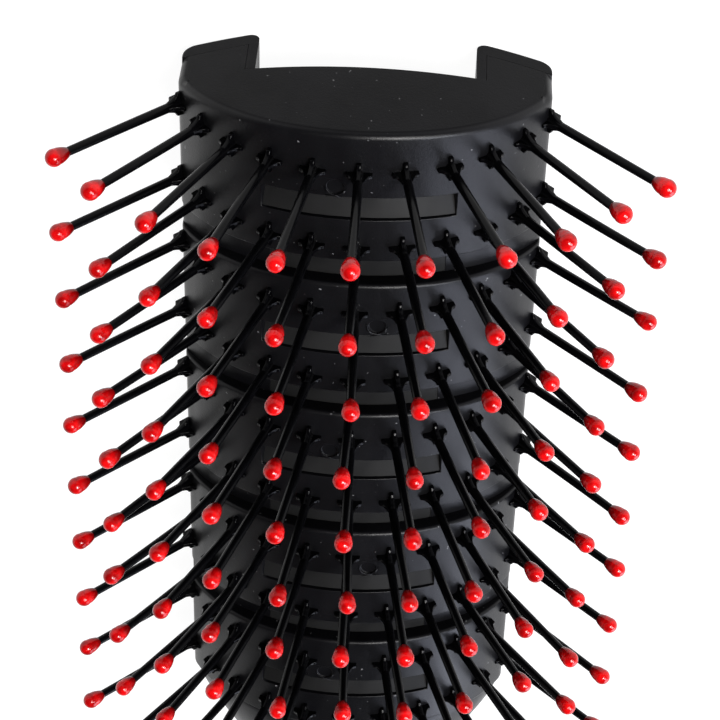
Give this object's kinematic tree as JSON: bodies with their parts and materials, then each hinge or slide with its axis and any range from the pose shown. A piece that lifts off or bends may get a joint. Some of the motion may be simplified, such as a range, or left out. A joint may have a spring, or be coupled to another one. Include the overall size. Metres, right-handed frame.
{
  "type": "vented hairbrush",
  "caption": "Curved vented hairbrush with fanned rows of ball-tipped pins, an open back channel and a round rubber grip with a hanging hole.",
  "frame": {"origin": "under the middle of the length and width, on the surface that the inner back edges of the rails and the belly of the grip rest on", "axes": "+X across the head, +Y along the brush towards the head's tip, +Z out of the bristle face"},
  "size_m": [0.0733, 0.226, 0.0417],
  "materials": {
    "shell": "satin black with a very fine moulded grain",
    "cover": "satin black, a little duller than the shell",
    "pin": "glossy deep black nylon",
    "tip": "glossy red dipped ball",
    "carrier": "smooth dark grey",
    "core": "satin black",
    "ring": "polished black",
    "grip": "soft matt black rubber",
    "cap": "satin black",
    "screw": "zinc plated"
  },
  "bodies": {
    "root": {"front_shell": "shell", "back_cover": "cover", "pin_row_01": "pin", "pin_row_02": "pin", "pin_row_03": "pin", "pin_row_04": "pin", "pin_row_05": "pin", "pin_row_06": "pin", "pin_row_07": "pin", "pin_row_08": "pin", "pin_row_09": "pin", "pin_row_10": "pin", "tip_row_01": "tip", "tip_row_02": "tip", "tip_row_03": "tip", "tip_row_04": "tip", "tip_row_05": "tip", "tip_row_06": "tip", "tip_row_07": "tip", "tip_row_08": "tip", "tip_row_09": "tip", "tip_row_10": "tip", "pin_carrier_1": "carrier", "pin_carrier_2": "carrier", "pin_carrier_3": "carrier", "pin_carrier_4": "carrier", "pin_carrier_5": "carrier", "handle_core": "core", "trim_ring": "ring", "grip_sleeve": "grip", "end_cap": "cap", "tongue_screws": "screw"}
  },
  "joints": []
}
